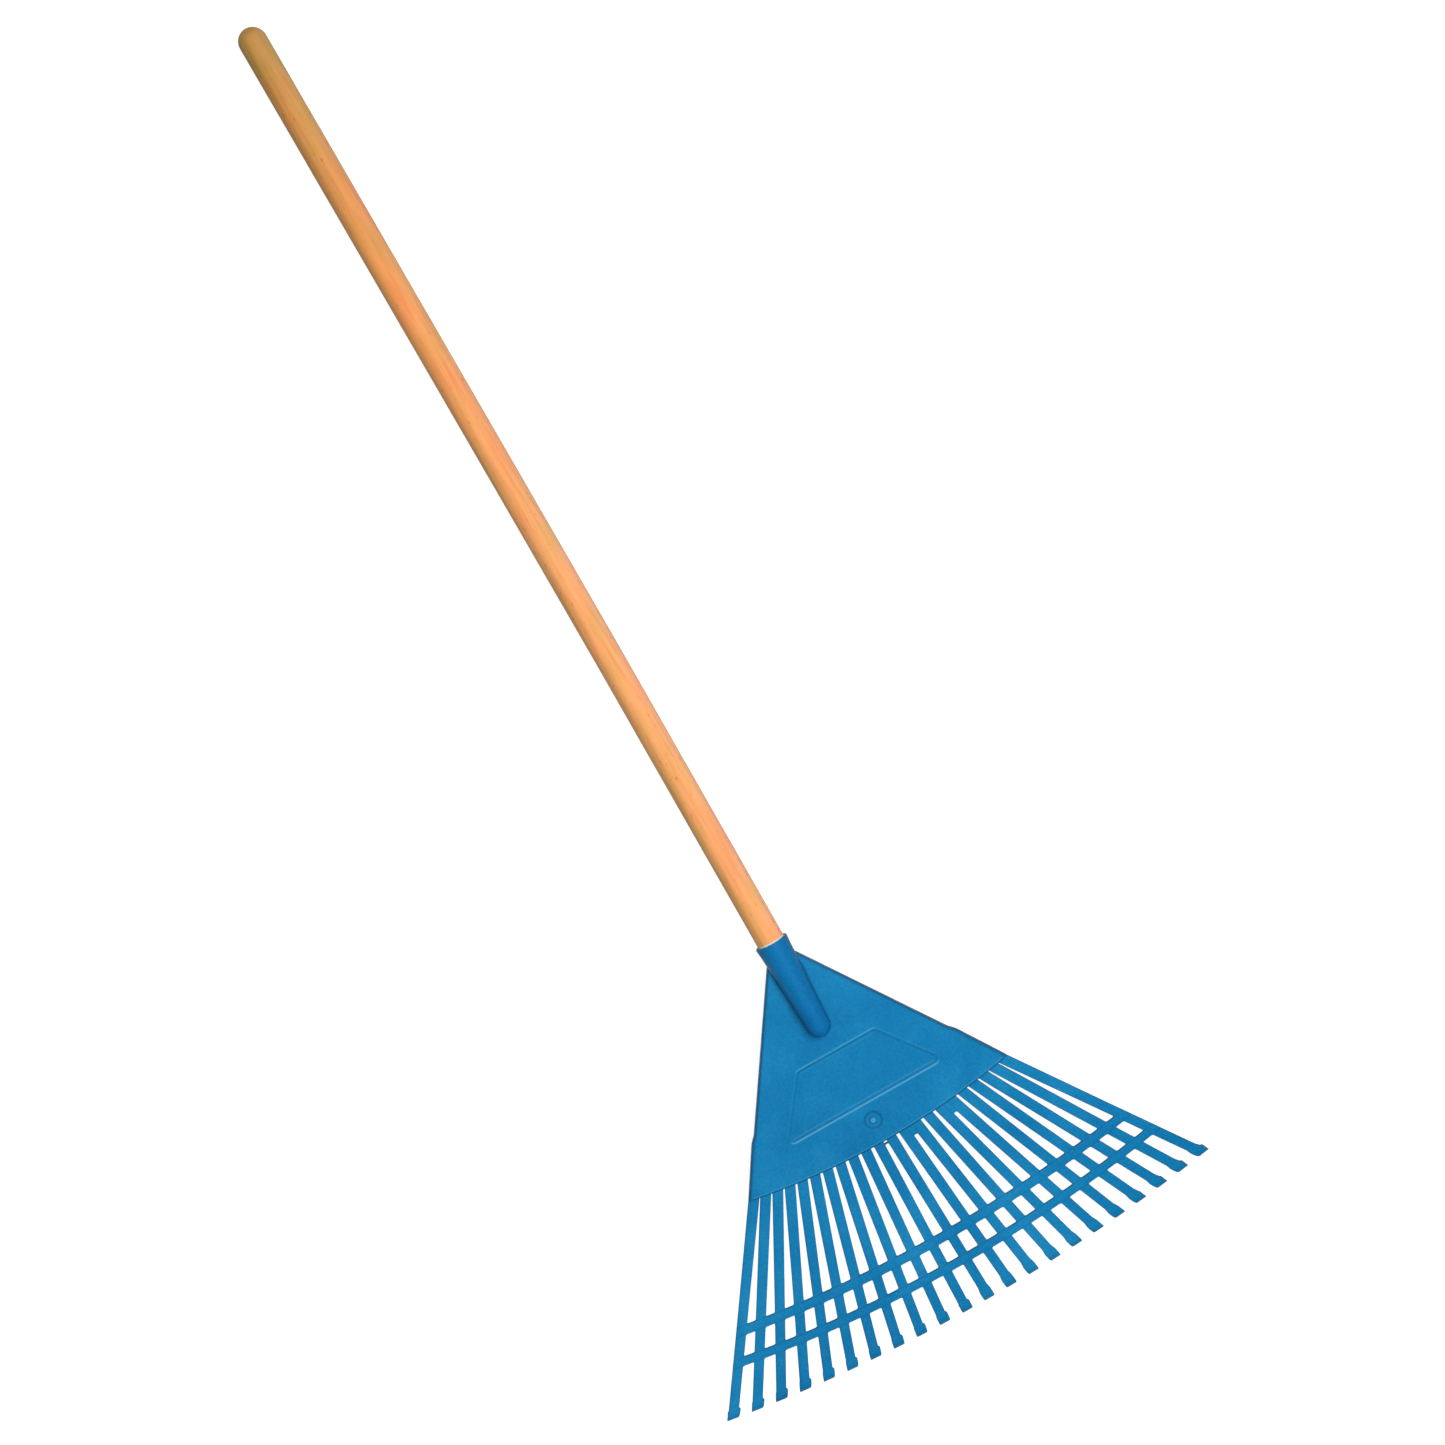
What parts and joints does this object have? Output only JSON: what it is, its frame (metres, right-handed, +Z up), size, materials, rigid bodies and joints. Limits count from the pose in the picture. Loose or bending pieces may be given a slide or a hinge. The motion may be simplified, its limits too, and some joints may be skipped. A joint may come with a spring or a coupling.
{
  "type": "leaf rake",
  "caption": "Leaf rake: a round wooden handle in a blue moulded plastic fan head with flat tines, turned-down tips and two curved crossbars.",
  "frame": {"origin": "centre of the rake's footprint, on the ground that its tine feet and the handle's free end rest on", "axes": "+X across the head, +Y along the handle towards its free end, +Z up; the rake lies with its tine feet down"},
  "size_m": [0.5562, 1.4354, 0.0698],
  "materials": {
    "blue_plastic": "moulded polypropylene, satin, self-coloured mid blue",
    "wood": "turned pine or beech pole under a thin warm varnish",
    "screw_steel": "zinc-plated steel"
  },
  "bodies": {
    "root": {"handle": "wood", "handle_screw": "screw_steel", "socket": "blue_plastic", "blade_panel": "blue_plastic", "left_rim": "blue_plastic", "right_rim": "blue_plastic", "spine_rib": "blue_plastic", "edge_rib": "blue_plastic", "slot_webs": "blue_plastic", "inner_crossbar": "blue_plastic", "outer_crossbar": "blue_plastic", "tine_01": "blue_plastic", "tine_02": "blue_plastic", "tine_03": "blue_plastic", "tine_04": "blue_plastic", "tine_05": "blue_plastic", "tine_06": "blue_plastic", "tine_07": "blue_plastic", "tine_08": "blue_plastic", "tine_09": "blue_plastic", "tine_10": "blue_plastic", "tine_11": "blue_plastic", "tine_12": "blue_plastic", "tine_13": "blue_plastic", "tine_14": "blue_plastic", "tine_15": "blue_plastic", "tine_16": "blue_plastic", "tine_17": "blue_plastic", "tine_18": "blue_plastic", "tine_19": "blue_plastic", "tine_20": "blue_plastic", "tine_21": "blue_plastic", "tine_22": "blue_plastic"}
  },
  "joints": []
}
